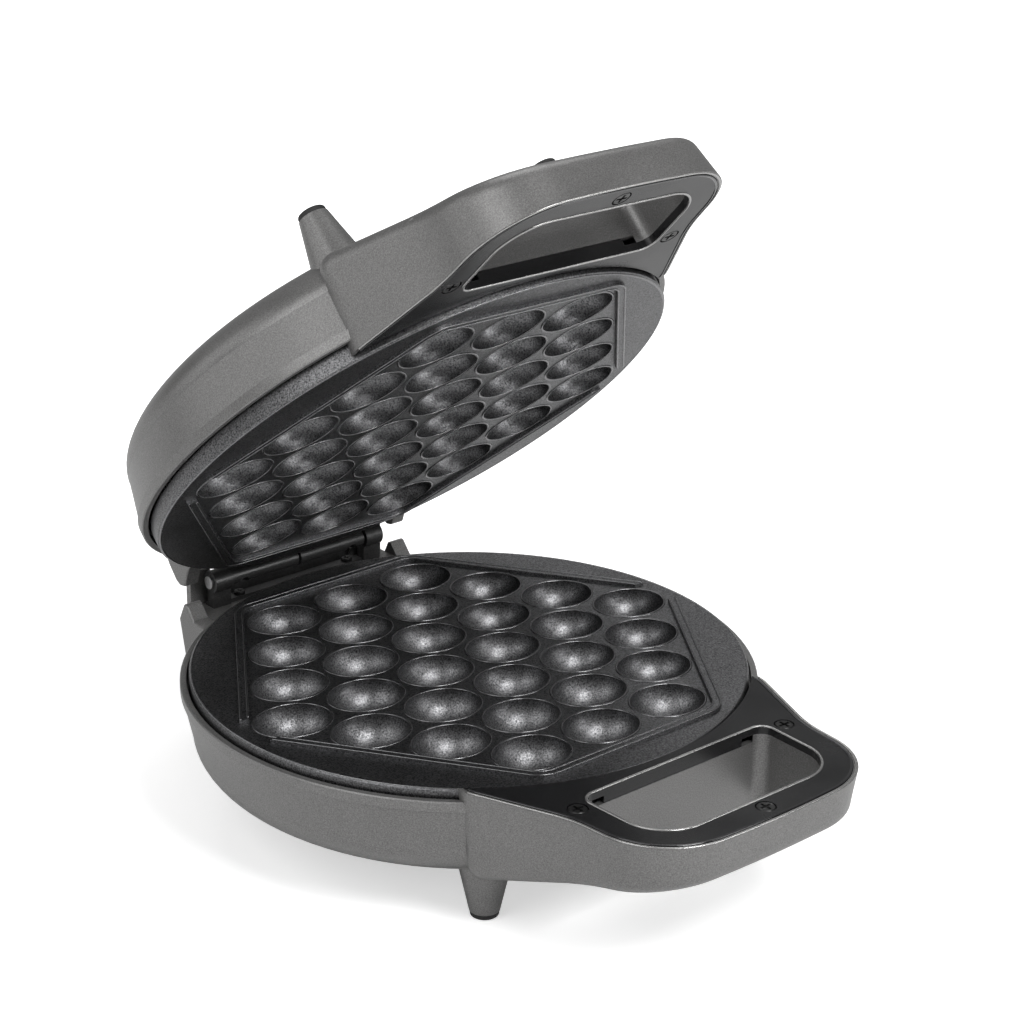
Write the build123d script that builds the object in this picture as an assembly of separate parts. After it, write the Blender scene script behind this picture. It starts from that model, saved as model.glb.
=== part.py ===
from build123d import *
import math
import os

# Bubble waffle maker: two round plates of egg-shaped bowls in a hinged clamshell.
# Millimetres, +Z up, the hinge runs along X, the handles point to -Y and the pads rest on Z = 0.
# Each half is drawn with its plate face at Z = 0 and its shell below; the lid is the mirrored half.

# Baking plate
pitch = 30.0
row_step = 22.26
bowl_length = 27.2
bowl_width = 23.1
bowl_depth = 11.0
longest_row = 6
rows_each_side = 3
bowl_wall = 2.0
plate_thickness = 6.0
rim_land = 7.25
plate_edge_chamfer = 0.7
rib_offset = 15.8
rib_width = 3.2
rib_height = 1.2
rib_corner = 9.0
rib_gap = 17.0
plate_boss_radius = 4.5

# Heating element and reflector
element_ring_radius = 62.0
element_tube_radius = 3.25
element_arc = 300.0
element_seat_width = 12.0
element_pin_radius = 2.0
element_pin_drop = 12.0
element_fit = 0.05
element_pin_hole_radius = 4.5
reflector_thickness = 0.8
reflector_rim_height = 7.0
reflector_margin = 7.8
reflector_gap = 0.1

# Round part of the shell
shell_depth = 39.5
shell_wall = 2.4
lip_width = 2.2
lip_drop = 3.0
lip_band = 3.5
lip_step = 0.5
lip_chamfer = 0.4
plate_to_lip_gap = 0.95
wall_draft = 3.2
corner_run = 36.0
corner_rise = 18.0
lid_casing_drop = 3.0

# Handle loop
handle_reach = 53.7
handle_root_depth = 39.4
handle_root_y = 50.0
handle_front_depth = 13.0
handle_draft = 8.0
handle_rim_rise = 1.0
handle_bottom_radius = 6.0
handle_floor = 4.0
handle_root_overlap = 50.85
handle_root_half_width = 44.0
handle_shoulder_half_width = 67.0
handle_shoulder_overlap = 23.8
handle_shoulder_radius = 12.0
handle_waist_half_width = 52.0
handle_waist_reach = 14.2
handle_waist_radius = 45.0
handle_grip_half_width = 49.2
handle_corner_radius = 28.0
handle_front_bow = 2.4
handle_bow_radius = 350.0
handle_lip = 1.5
gap_inner_clear = 5.35
gap_length = 34.8
gap_half_width = 39.8
gap_front_half_width = 38.6
gap_corner_radius = 4.5
gap_front_radius = 15.0
sleeve_wall = 2.2

# Handle cover
cover_thickness = 2.5
cover_top = 1.2
cover_fit = 0.2
cover_to_plate_gap = 1.1
cover_skirt_drop = 5.0
cover_skirt_thickness = 1.4
cover_skirt_end_gap = 5.0

# Cover screws
cover_screw_side_x = 45.3
cover_screw_side_y = 4.4
cover_screw_front = 8.4
cover_screw_radius = 1.4
cover_screw_length = 9.0
cover_screw_head_radius = 3.2
cover_screw_head_height = 1.6
cover_screw_head_gap = 0.2
cover_boss_radius = 3.9

# Feet and plate screws
foot_x = 48.5
foot_y = 66.0
foot_height = 52.3
foot_base_radius = 10.6
foot_tip_radius = 5.1
foot_cone_length = 25.0
foot_bore_radius = 4.0
pad_thickness = 2.0
pad_plug_length = 3.5
pad_plug_fit = 0.05
pad_edge_radius = 0.8
post_radius = 6.2
plate_screw_radius = 2.0
plate_screw_length = 20.0
plate_screw_bite = 9.0
plate_screw_head_radius = 3.6
plate_screw_head_height = 2.6
screw_fit = 0.05

# Hinge
hinge_back = 100.6
hinge_rise = 5.3
plate_gap = 4.5
open_angle = 45.0
pin_radius = 1.5
pin_head_radius = 2.4
pin_head_height = 0.8
pin_fit = 0.05
barrel_radius = 3.2
barrel_split = 0.6
barrel_half_span = 29.9
knuckle_radius = 4.2
knuckle_gap = 0.5
knuckle_length = 7.6
leaf_thickness = 1.5
leaf_front = 99.4
leaf_back = 104.0
base_web_thickness = 4.0
lid_web_thickness = 3.2
lid_web_half_span = 20.0
hinge_screw_x = 24.6
hinge_screw_radius = 1.1
hinge_screw_head_radius = 2.1
hinge_screw_head_height = 1.2
hinge_screw_length = 8.0
hinge_boss_radius = 2.6

# Rear housings and fins
housing_half_width = 43.5
housing_back = 110.0
housing_floor = 30.0
housing_shelf = 4.5
housing_corner = 4.0
ear_inner_x = 27.0
ear_top = 9.5
ear_front = 105.2
ear_thickness = 2.6
fin_gap = 0.8
fin_thickness = 5.7
fin_corner = 1.2
fin_edge_radius = 0.8
base_fin_outline = [
    (84.0, -27.0), (99.5, -24.0), (100.5, -20.0), (103.5, -6.4), (99.8, 1.1),
    (94.5, -5.0), (80.0, -6.0), (80.0, -27.0),
]
lid_fin_outline = [
    (84.0, -27.0), (98.0, -25.0), (101.1, -12.1), (101.6, -5.7), (100.8, -3.0), (98.2, -1.1),
    (92.5, -4.0), (80.0, -6.6), (80.0, -27.0),
]
fin_root_y = 80.0
fin_rounded_from = 92.0
lid_housing_half_width = 28.0
lid_housing_back = 103.0
lid_housing_shelf = 6.0
lid_housing_floor = 24.0
notch_gap = 0.7

# Small electrical pieces
bush_z = 18.0
bush_neck_radius = 5.5
bush_bore_radius = 3.5
bush_flange_radius = 7.5
bush_flange_thickness = 2.0
terminal_block_size = (32.0, 13.0, 12.0)
terminal_block_y = 38.0
terminal_hole_radius = 1.8
thermostat_radius = 7.5
thermostat_height = 6.5
fuse_size = (20.0, 9.0, 5.0)
fuse_radius = 2.0
lamp_x = 11.0
lamp_y = 38.0
lens_radius = 3.9
lens_flange_radius = 5.0
lens_flange_thickness = 1.2
lens_stem_length = 9.0
lens_fit = 0.05
lamp_holder_size = (40.0, 14.0, 4.0)

# Derived places
field_half = (longest_row - 1) * pitch / 2
short_half = (longest_row - 1 - rows_each_side) * pitch / 2
field_back = rows_each_side * row_step
plate_radius = field_half + bowl_length / 2 + rim_land
lip_inner = plate_radius + plate_to_lip_gap
lip_outer = lip_inner + lip_width
body_radius = lip_outer - lip_step
bowl_bottom = bowl_depth + bowl_wall
element_level = bowl_bottom + element_tube_radius
reflector_level = element_level + element_tube_radius + reflector_gap
reflector_radius = plate_radius - reflector_margin
post_level = reflector_level + reflector_thickness
handle_front = plate_radius + handle_reach
gap_inner = plate_radius + gap_inner_clear
gap_front = gap_inner + gap_length
cover_under = cover_top - cover_thickness
underside_slope = (handle_root_depth - handle_front_depth) / (handle_front - handle_root_y)
cone_tip = foot_height - pad_thickness
cone_start = cone_tip - foot_cone_length
plate_screw_head_level = reflector_level + plate_screw_length - plate_screw_bite
foot_spots = [(side * foot_x, end * foot_y) for end in (-1, 1) for side in (-1, 1)]
cover_spots = [
    (-cover_screw_side_x, -(gap_inner + cover_screw_side_y)),
    (cover_screw_side_x, -(gap_inner + cover_screw_side_y)),
    (0.0, -(handle_front - cover_screw_front)),
]


def slab(low_x, high_x, low_y, high_y, low_z, high_z):
    """Make a block from its six limits."""
    size = (high_x - low_x, high_y - low_y, high_z - low_z)
    middle = ((low_x + high_x) / 2, (low_y + high_y) / 2, (low_z + high_z) / 2)
    return Pos(*middle) * Box(*size)


def rod(x, y, low_z, high_z, radius):
    """Make an upright round rod between two heights."""
    middle = (low_z + high_z) / 2
    return Pos(x, y, middle) * Cylinder(radius, high_z - low_z)


def cross_rod(low_x, high_x, y, z, radius):
    """Make a round rod that runs along X."""
    middle = (low_x + high_x) / 2
    return Pos(middle, y, z) * Rot(0, 90, 0) * Cylinder(radius, high_x - low_x)


def prism(face, low_z, high_z):
    """Extrude a flat face between two heights."""
    return Pos(0, 0, low_z) * extrude(face, high_z - low_z)


def bowl_spots():
    """List the centres of the bowls, row by row."""
    spots = []
    for row in range(-rows_each_side, rows_each_side + 1):
        count = longest_row - abs(row)
        for column in range(count):
            x = (column - (count - 1) / 2) * pitch
            spots.append((x, row * row_step))
    return spots


def bowl(extra):
    """Make one egg-shaped bowl body, grown by a wall."""
    size = (bowl_length / 2 + extra, bowl_width / 2 + extra, bowl_depth + extra)
    return scale(Sphere(1.0), by=size)


def rib_hexagon():
    """Make the six-sided outline that runs outside the field of bowls."""
    run = field_half - short_half
    slant = math.hypot(run, field_back)
    side_distance = field_half * field_back / slant + rib_offset
    end_line = field_back + rib_offset
    corner_x = (side_distance - end_line * run / slant) * slant / field_back
    tip_x = side_distance * slant / field_back
    points = [(corner_x, end_line), (tip_x, 0), (corner_x, -end_line)]
    points += [(-x, y) for x, y in reversed(points)]
    face = make_face(Polyline(*points, close=True))
    corners = [v for v in face.vertices() if abs(v.Y) > 1]
    return fillet(corners, rib_corner)


def plate_ribs():
    """Make the raised ribs that keep the batter in."""
    middle = rib_hexagon()
    ring = offset(middle, rib_width / 2) - offset(middle, -rib_width / 2)
    ring = ring & Circle(plate_radius - plate_edge_chamfer)
    ring = ring - Rectangle(4 * plate_radius, rib_gap)
    return extrude(ring, rib_height)


def make_plate():
    """Make one cast baking plate with its bowls, element seat and screw bosses."""
    disc = rod(0, 0, -plate_thickness, 0, plate_radius)
    disc = chamfer(disc.edges().sort_by(Axis.Z)[-1], plate_edge_chamfer)
    under = slab(-pitch, pitch, -pitch, pitch, -2 * bowl_bottom, -plate_thickness / 2)
    bump = bowl(bowl_wall) & under
    plate = disc.fuse(*[Pos(x, y, 0) * bump for x, y in bowl_spots()])
    seat = Circle(element_ring_radius + element_seat_width / 2)
    seat = seat - Circle(element_ring_radius - element_seat_width / 2)
    plate = plate + prism(seat, -element_level, -plate_thickness / 2)
    for x, y in foot_spots:
        plate = plate + rod(x, y, -reflector_level, -plate_thickness / 2, plate_boss_radius)
    dip = bowl(0)
    plate = plate.cut(*[Pos(x, y, 0) * dip for x, y in bowl_spots()])
    groove = Torus(element_ring_radius, element_tube_radius + element_fit)
    plate = plate - Pos(0, 0, -element_level) * groove
    hole_top = plate_screw_bite + 1 - reflector_level
    for x, y in foot_spots:
        hole = rod(x, y, -reflector_level, hole_top, plate_screw_radius + screw_fit)
        plate = plate - hole
    return plate + plate_ribs()


def element_ends():
    """List the two places where the element's cold pins leave its ring."""
    half = math.radians(element_arc / 2)
    spots = []
    for side in (-1, 1):
        angle = -math.pi / 2 + side * half
        spots.append((element_ring_radius * math.cos(angle), element_ring_radius * math.sin(angle)))
    return spots


def make_heating_element():
    """Make the tubular element: most of a ring, with a cold pin at each end."""
    ring = Torus(element_ring_radius, element_tube_radius, major_angle=element_arc)
    element = Pos(0, 0, -element_level) * Rot(0, 0, -90 - element_arc / 2) * ring
    for x, y in element_ends():
        top = -element_level
        element = element + Pos(x, y, top) * Sphere(element_tube_radius)
        element = element + rod(x, y, top - element_pin_drop, top, element_pin_radius)
    return element


def make_reflector():
    """Make the thin pan that closes the hot side off from the shell."""
    pan = rod(0, 0, -post_level, -reflector_level + reflector_rim_height, reflector_radius)
    hollow = rod(0, 0, -reflector_level, 0, reflector_radius - reflector_thickness)
    pan = pan - hollow
    for x, y in foot_spots:
        pan = pan - rod(x, y, -post_level - 1, 0, plate_screw_radius + 4 * screw_fit)
    for x, y in element_ends():
        pan = pan - rod(x, y, -post_level - 1, 0, element_pin_hole_radius)
    return pan


def body_profile(wall):
    """Draw half of the round shell's section, outer skin for no wall, inner skin for one."""
    centre = (body_radius - wall_draft - corner_run, -(shell_depth - corner_rise))
    run = corner_run - wall
    rise = corner_rise - wall
    bottom = centre[1] - rise
    side = centre[0] + run
    band = lip_drop + lip_band
    if wall > 0:
        top = [(side, centre[1]), (body_radius - wall, -band), (lip_inner, -band), (lip_inner, 9)]
        top += [(0, 9)]
    else:
        top = [(side, centre[1]), (body_radius, -band), (lip_outer, -band)]
        top += [(lip_outer, -lip_drop - lip_chamfer), (lip_outer - lip_chamfer, -lip_drop)]
        top += [(0, -lip_drop)]
    arc = EllipticalCenterArc(centre, run, rise, 270, arc_size=90)
    rest = Polyline(*top)
    floor = Polyline((0, -lip_drop if wall == 0 else 9), (0, bottom), (centre[0], bottom))
    return make_face(Plane.XZ * Curve([arc, rest, floor]))


def handle_outline():
    """Make the outer outline of the handle loop, from inside the round body to its front."""
    half = [
        (handle_root_half_width, -(plate_radius - handle_root_overlap)),
        (handle_shoulder_half_width, -(plate_radius - handle_shoulder_overlap)),
        (handle_waist_half_width, -(plate_radius + handle_waist_reach)),
        (handle_grip_half_width, -(handle_front - handle_front_bow)),
    ]
    points = half + [(0, -handle_front)] + [(-x, y) for x, y in reversed(half)]
    face = make_face(Polyline(*points, close=True))
    for spot, radius in (
        (half[1], handle_shoulder_radius),
        (half[2], handle_waist_radius),
        (half[3], handle_corner_radius),
        ((0, -handle_front), handle_bow_radius),
    ):
        corners = [
            v for v in face.vertices()
            if abs(abs(v.X) - spot[0]) < 0.01 and abs(v.Y - spot[1]) < 0.01
        ]
        face = fillet(corners, radius)
    return face


def gap_outline():
    """Make the D-shaped finger gap in the handle."""
    points = [(gap_half_width, -gap_inner), (gap_front_half_width, -gap_front)]
    points += [(-x, y) for x, y in reversed(points)]
    face = make_face(Polyline(*points, close=True))
    inner = [v for v in face.vertices() if v.Y > -gap_inner - 1]
    face = fillet(inner, gap_corner_radius)
    outer = [v for v in face.vertices() if v.Y < -gap_front + 1]
    return fillet(outer, gap_front_radius)


def underside_level(y):
    """Give the height of the handle's underside, which climbs towards its front."""
    return -handle_root_depth + underside_slope * max(0, -y - handle_root_y)


def above_underside(lift):
    """Make the room above the handle's underside, raised by a floor."""
    far = 2 * handle_front
    points = [
        (0, underside_level(0) + lift),
        (-handle_root_y, underside_level(-handle_root_y) + lift),
        (-far, underside_level(-far) + lift),
        (-far, shell_depth),
        (0, shell_depth),
    ]
    face = make_face(Polyline(*points, close=True))
    return extrude(Plane.YZ * face, far, both=True)


def leaning(face, top):
    """Extrude a face down from a height with walls that lean inwards."""
    down = extrude(face, shell_depth + top + 2, dir=(0, 0, -1), taper=handle_draft)
    return Pos(0, 0, top) * down


def handle_body():
    """Make the solid outer form of the handle loop, rounded underneath."""
    block = leaning(handle_outline(), handle_rim_rise) & above_underside(0)
    slope = sorted(block.faces(), key=lambda face: face.normal_at().Z)
    low = [face for face in slope[:2] if face.center().Y < -handle_root_y]
    rounded = [e for e in low[0].edges() if e.center().Y < -handle_root_y - 0.5]
    return fillet(rounded, handle_bottom_radius)


def handle_hollow():
    """Make the space inside the handle loop, with a ledge for the cover."""
    outline = handle_outline()
    inner = offset(outline, -shell_wall)
    block = leaning(inner, cover_top + 1) & above_underside(handle_floor)
    seat = prism(offset(outline, -handle_lip), cover_under, cover_top + 1)
    sleeve_face = offset(gap_outline(), sleeve_wall)
    sleeve = prism(sleeve_face, -shell_depth, cover_under)
    skirt_room = slab(
        -gap_half_width - sleeve_wall - 1,
        gap_half_width + sleeve_wall + 1,
        -gap_inner - 0.01,
        -gap_inner + sleeve_wall + 1,
        cover_top - cover_skirt_drop - cover_fit,
        cover_top,
    )
    return block + seat - (sleeve - skirt_room)


def foot_cone(x, y, drop):
    """Make one foot with the post above it that carries the plate."""
    cone = Pos(x, y, -(cone_start + cone_tip) / 2 - drop)
    cone = cone * Cone(foot_tip_radius, foot_base_radius, foot_cone_length)
    return cone + rod(x, y, -cone_start - drop - 1, -post_level, post_radius)


def foot_bore(x, y, drop):
    """Make the stepped hole through a foot for its screw and pad plug."""
    wide = rod(x, y, -cone_tip - drop, -plate_screw_head_level, foot_bore_radius)
    return wide + rod(x, y, -cone_tip, -post_level, plate_screw_radius + 4 * screw_fit)


def fin(side, clear, outline):
    """Make one leaf-shaped fin beside the hinge from its outline seen from the side."""
    inner = housing_half_width + clear
    outer = housing_half_width + fin_gap + fin_thickness
    face = make_face(Polyline(*outline, close=True))
    face = fillet([v for v in face.vertices() if v.X > fin_rounded_from], fin_corner)
    block = Pos(inner, 0, 0) * extrude(Plane.YZ * face, outer - inner)
    edges = [e for e in block.edges() if e.bounding_box().min.X > outer - 0.01]
    block = fillet(edges, fin_edge_radius)
    return block if side > 0 else mirror(block, about=Plane.YZ)


def ear(side):
    """Make one raised ear of the base behind the hinge."""
    outer = housing_half_width
    face = make_face(Polyline(
        (outer, -housing_shelf - 1),
        (outer, ear_top - 2.0),
        (outer - 2.5, ear_top),
        (outer - 8.5, ear_top - 1.2),
        (ear_inner_x + 4.0, ear_top - 7.0),
        (ear_inner_x, -housing_shelf - 1),
        close=True,
    ))
    block = extrude(Plane.XZ * face, -ear_thickness)
    block = Pos(0, ear_front, 0) * block
    return block if side > 0 else mirror(block, about=Plane.YZ)


def round_body():
    """Make the outer form of the round shell."""
    return revolve(body_profile(0), Axis.Z)


def round_hollow():
    """Make the space inside the round shell."""
    return revolve(body_profile(shell_wall), Axis.Z)


def shell_core(extra_outer, extra_hollow, drop):
    """Join the round body, the handle and the feet, set them down by a drop and hollow them."""
    lowered = Pos(0, 0, -drop)
    outer = lowered * (round_body() + handle_body()) + extra_outer
    hollow = lowered * (round_hollow() + handle_hollow()) + extra_hollow
    shell = outer - hollow
    for x, y in foot_spots:
        shell = shell + foot_cone(x, y, drop)
    for x, y in cover_spots:
        low = underside_level(y) + handle_floor / 2
        shell = shell + lowered * rod(x, y, low, cover_under, cover_boss_radius)
    shell = shell - lowered * prism(gap_outline(), -shell_depth - 1, cover_top + 1)
    for x, y in foot_spots:
        shell = shell - foot_bore(x, y, drop)
    for x, y in cover_spots:
        low = cover_top - cover_screw_head_height - cover_screw_length - 1
        hole = rod(x, y, low, cover_under + 1, cover_screw_radius + screw_fit)
        shell = shell - lowered * hole
    return shell


def make_base_shell():
    """Make the base shell with its rear housing, ears, fins and cord hole."""
    half = housing_half_width
    housing = slab(-half, half, fin_root_y, housing_back, -housing_floor, -housing_shelf)
    edges = housing.edges().filter_by(Axis.Z).sort_by(Axis.Y)[-2:]
    housing = fillet(edges, housing_corner)
    housing = housing - rod(0, 0, -housing_shelf - 1, 0, lip_inner)
    outer = housing + ear(1) + ear(-1)
    outer = outer + fin(1, 0, base_fin_outline) + fin(-1, 0, base_fin_outline)
    half = housing_half_width - shell_wall
    hollow = slab(
        -half, half,
        fin_root_y - 10, housing_back - shell_wall,
        -housing_floor + shell_wall, -housing_shelf - shell_wall,
    )
    shell = shell_core(outer, hollow, 0)
    for side in (-1, 1):
        spot = (side * hinge_screw_x, (leaf_front + leaf_back) / 2)
        low = -housing_shelf - hinge_screw_length - 1
        shell = shell + rod(*spot, low, -housing_shelf - shell_wall, hinge_boss_radius)
        low = -housing_shelf - hinge_screw_length
        shell = shell - rod(*spot, low, 0, hinge_screw_radius + screw_fit)
    hole = Pos(0, housing_back, -bush_z) * Rot(90, 0, 0)
    return shell - hole * Cylinder(bush_neck_radius + screw_fit, 4 * shell_wall)


def make_lid_shell():
    """Make the lid's shell with its hinge housing, fins and lamp holes."""
    half = lid_housing_half_width
    housing = slab(
        -half, half,
        fin_root_y, lid_housing_back,
        -lid_housing_floor, -lid_housing_shelf,
    )
    edges = housing.edges().filter_by(Axis.Z).sort_by(Axis.Y)[-2:]
    housing = fillet(edges, housing_corner / 2)
    outer = housing + fin(1, fin_gap, lid_fin_outline) + fin(-1, fin_gap, lid_fin_outline)
    half = lid_housing_half_width - shell_wall
    hollow = slab(
        -half, half,
        fin_root_y - 10, lid_housing_back - shell_wall,
        -lid_housing_floor + shell_wall, -lid_housing_shelf - shell_wall,
    )
    shell = shell_core(outer, hollow, lid_casing_drop)
    notch = barrel_half_span + notch_gap
    shell = shell - slab(
        -notch, notch,
        hinge_back - barrel_radius - notch_gap, housing_back,
        -lid_housing_shelf, 0,
    )
    for side in (-1, 1):
        spot = (side * hinge_screw_x, (leaf_front + lid_housing_back) / 2)
        low = -lid_housing_shelf - hinge_screw_length
        shell = shell + rod(*spot, low - 1, -lid_housing_shelf - shell_wall, hinge_boss_radius)
        shell = shell - rod(*spot, low, 0, hinge_screw_radius + screw_fit)
        low = -shell_depth - lid_casing_drop - 1
        shell = shell - rod(side * lamp_x, -lamp_y, low, -shell_depth / 2, lens_radius + lens_fit)
    return shell


def make_handle_cover():
    """Make the flush cover that closes the handle, with a skirt at the gap's straight side."""
    face = offset(handle_outline(), -handle_lip - cover_fit)
    face = face - Circle(plate_radius + cover_to_plate_gap)
    face = face - Pos(0, 2 * plate_radius) * Rectangle(6 * plate_radius, 4 * plate_radius)
    face = face - gap_outline()
    cover = prism(face, cover_under, cover_top)
    half = gap_half_width - gap_corner_radius - cover_skirt_end_gap
    skirt = slab(
        -half, half,
        -gap_inner, -gap_inner + cover_skirt_thickness,
        cover_top - cover_skirt_drop, cover_under,
    )
    cover = cover + skirt
    for x, y in cover_spots:
        head_floor = cover_top - cover_screw_head_height
        wide = cover_screw_head_radius + cover_screw_head_gap
        cover = cover - rod(x, y, head_floor, cover_top + 1, wide)
        cover = cover - rod(x, y, cover_under - 1, cover_top, cover_screw_radius + 2 * screw_fit)
    return cover


def cross_head_screw(head_radius, head_height, radius, length):
    """Make a cross-head screw with its head's underside at Z = 0 and its shank below."""
    screw = rod(0, 0, 0, head_height, head_radius)
    screw = chamfer(screw.edges().sort_by(Axis.Z)[-1], head_height / 4)
    screw = screw + rod(0, 0, -length, 0, radius)
    reach = head_radius * 0.65
    depth = head_height * 0.6
    wide = head_radius * 0.14
    for long_x, long_y in ((reach, wide), (wide, reach)):
        screw = screw - slab(-long_x, long_x, -long_y, long_y, head_height - depth, head_height + 1)
    return screw


def make_cover_screws():
    """Make the three screws that hold the handle cover."""
    screw = cross_head_screw(
        cover_screw_head_radius, cover_screw_head_height, cover_screw_radius, cover_screw_length
    )
    level = cover_top - cover_screw_head_height
    return Compound([Pos(x, y, level) * screw for x, y in cover_spots])


def make_plate_screws():
    """Make the four screws that run up through the feet into the plate."""
    screw = cross_head_screw(
        plate_screw_head_radius, plate_screw_head_height, plate_screw_radius, plate_screw_length
    )
    screw = Rot(180, 0, 0) * screw
    return Compound([Pos(x, y, -plate_screw_head_level) * screw for x, y in foot_spots])


def make_foot_pads():
    """Make the four rubber pads with the plugs that hold them in the feet."""
    pad = rod(0, 0, -foot_height, -cone_tip, foot_tip_radius - 0.3)
    pad = fillet(pad.edges().sort_by(Axis.Z)[0], pad_edge_radius)
    plug_top = -cone_tip + pad_plug_length
    pad = pad + rod(0, 0, -cone_tip, plug_top, foot_bore_radius - pad_plug_fit)
    return Compound([Pos(x, y, 0) * pad for x, y in foot_spots])


def make_base_hinge_bracket():
    """Make the base's hinge leaf with its two outer knuckles."""
    start = barrel_half_span + knuckle_gap
    end = start + knuckle_length
    leaf = slab(
        -end, end, leaf_front, leaf_back, -housing_shelf, -housing_shelf + leaf_thickness
    )
    middle = (leaf_front + leaf_back) / 2
    for side in (-1, 1):
        low, high = sorted((side * start, side * end))
        arm = slab(
            low, high,
            hinge_back - base_web_thickness / 2, hinge_back + base_web_thickness / 2,
            -housing_shelf, hinge_rise,
        )
        knuckle = cross_rod(low, high, hinge_back, hinge_rise, knuckle_radius)
        leaf = leaf + arm + knuckle
        hole = hinge_screw_radius + 2 * screw_fit
        leaf = leaf - rod(side * hinge_screw_x, middle, -housing_shelf - 1, 0, hole)
    return leaf - cross_rod(-end - 1, end + 1, hinge_back, hinge_rise, pin_radius + pin_fit)


def make_lid_hinge_bracket():
    """Make the lid's hinge leaf with its two barrels, drawn in the lid's own half frame."""
    axis_z = plate_gap - hinge_rise
    half = lid_housing_half_width
    level = -lid_housing_shelf
    leaf = slab(-half, half, leaf_front, lid_housing_back, level, level + leaf_thickness)
    middle = (leaf_front + lid_housing_back) / 2
    for side in (-1, 1):
        low, high = sorted((side * barrel_split, side * barrel_half_span))
        barrel = cross_rod(low, high, hinge_back, axis_z, barrel_radius)
        low, high = sorted((side * barrel_split, side * lid_web_half_span))
        web = slab(
            low, high,
            hinge_back - lid_web_thickness / 2, hinge_back + lid_web_thickness / 2,
            level, axis_z,
        )
        leaf = leaf + web + barrel
        hole = hinge_screw_radius + 2 * screw_fit
        leaf = leaf - rod(side * hinge_screw_x, middle, level - 1, level + leaf_thickness, hole)
    for side in (-1, 1):
        head = hinge_screw_head_radius + 0.3
        room = rod(side * hinge_screw_x, middle, level + leaf_thickness, 9, head)
        leaf = leaf - room
    end = barrel_half_span + 1
    return leaf - cross_rod(-end, end, hinge_back, axis_z, pin_radius + pin_fit)


def hinge_screws(level, middle):
    """Make the two small screws that hold a hinge leaf."""
    screw = cross_head_screw(
        hinge_screw_head_radius, hinge_screw_head_height, hinge_screw_radius, hinge_screw_length
    )
    spots = [(side * hinge_screw_x, middle) for side in (-1, 1)]
    return Compound([Pos(x, y, level + leaf_thickness) * screw for x, y in spots])


def make_hinge_pin():
    """Make the hinge pin with a flat head at each end."""
    end = barrel_half_span + knuckle_gap + knuckle_length
    pin = cross_rod(-end, end, hinge_back, hinge_rise, pin_radius)
    for side in (-1, 1):
        low, high = sorted((side * end, side * (end + pin_head_height)))
        pin = pin + cross_rod(low, high, hinge_back, hinge_rise, pin_head_radius)
    return pin


def make_cord_bush():
    """Make the bush where a mains cord would enter the housing."""
    turn = Rot(90, 0, 0)
    inner = housing_back - shell_wall - bush_flange_thickness
    outer = housing_back + bush_flange_thickness
    neck = Pos(0, (inner + outer) / 2, -bush_z) * turn * Cylinder(bush_neck_radius, outer - inner)
    bush = neck
    for low in (inner, housing_back):
        middle = low + bush_flange_thickness / 2
        flange = Pos(0, middle, -bush_z) * turn
        bush = bush + flange * Cylinder(bush_flange_radius, bush_flange_thickness)
    bore = Pos(0, (inner + outer) / 2, -bush_z) * turn * Cylinder(bush_bore_radius, 2 * (outer - inner))
    return bush - bore


def make_terminal_block():
    """Make the terminal block on the base shell's floor."""
    long_x, long_y, tall = terminal_block_size
    floor = -shell_depth + shell_wall
    y = terminal_block_y
    block = slab(-long_x / 2, long_x / 2, y - long_y / 2, y + long_y / 2, floor, floor + tall)
    for step in (-1, 0, 1):
        spot = (step * long_x / 3.4, y)
        block = block - rod(*spot, floor + tall / 2, floor + tall + 1, terminal_hole_radius)
    return block


def make_thermostat():
    """Make the thermostat that hangs under the base's reflector."""
    top = -post_level
    body = rod(0, 0, top - thermostat_height, top, thermostat_radius)
    for side in (-1, 1):
        x = side * (thermostat_radius - 1)
        low = top - thermostat_height - 5
        body = body + slab(x - 0.4, x + 0.4, -2, 2, low, top - thermostat_height / 2)
    return body


def make_thermal_fuse():
    """Make the thermal fuse and its clip above the lid's reflector."""
    long_x, long_y, tall = fuse_size
    top = -post_level
    clip = slab(-long_x / 2, long_x / 2, -long_y / 2, long_y / 2, top - tall / 2, top)
    return clip + cross_rod(-long_x, long_x, 0, top - tall / 2 - 0.5, fuse_radius)


def make_lamp_lens(side):
    """Make one indicator lens that sits in the lid's top."""
    level = -shell_depth
    flange = rod(side * lamp_x, -lamp_y, level - lens_flange_thickness, level, lens_flange_radius)
    flange = fillet(flange.edges().sort_by(Axis.Z)[0], lens_flange_thickness / 2)
    return flange + rod(side * lamp_x, -lamp_y, level, level + lens_stem_length, lens_radius)


def make_lamp_holder():
    """Make the bridge inside the lid that carries both lamps."""
    long_x, long_y, tall = lamp_holder_size
    floor = -shell_depth + shell_wall
    y = -lamp_y
    bar = slab(-long_x / 2, long_x / 2, y - long_y / 2, y + long_y / 2, floor, floor + tall)
    for side in (-1, 1):
        bar = bar - rod(side * lamp_x, y, floor - 1, floor + tall + 1, lens_radius + lens_fit)
    return bar


def base_nodes():
    """Make every piece of the base in its half frame, by node name."""
    middle = (leaf_front + leaf_back) / 2
    return {
        "base_shell": make_base_shell(),
        "base_handle_cover": make_handle_cover(),
        "base_cover_screws": make_cover_screws(),
        "base_plate": make_plate(),
        "base_heating_element": make_heating_element(),
        "base_reflector": make_reflector(),
        "base_plate_screws": make_plate_screws(),
        "base_foot_pads": make_foot_pads(),
        "base_hinge_bracket": make_base_hinge_bracket(),
        "base_hinge_screws": hinge_screws(-housing_shelf, middle),
        "hinge_pin": make_hinge_pin(),
        "cord_bush": make_cord_bush(),
        "terminal_block": make_terminal_block(),
        "thermostat": make_thermostat(),
    }


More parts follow.
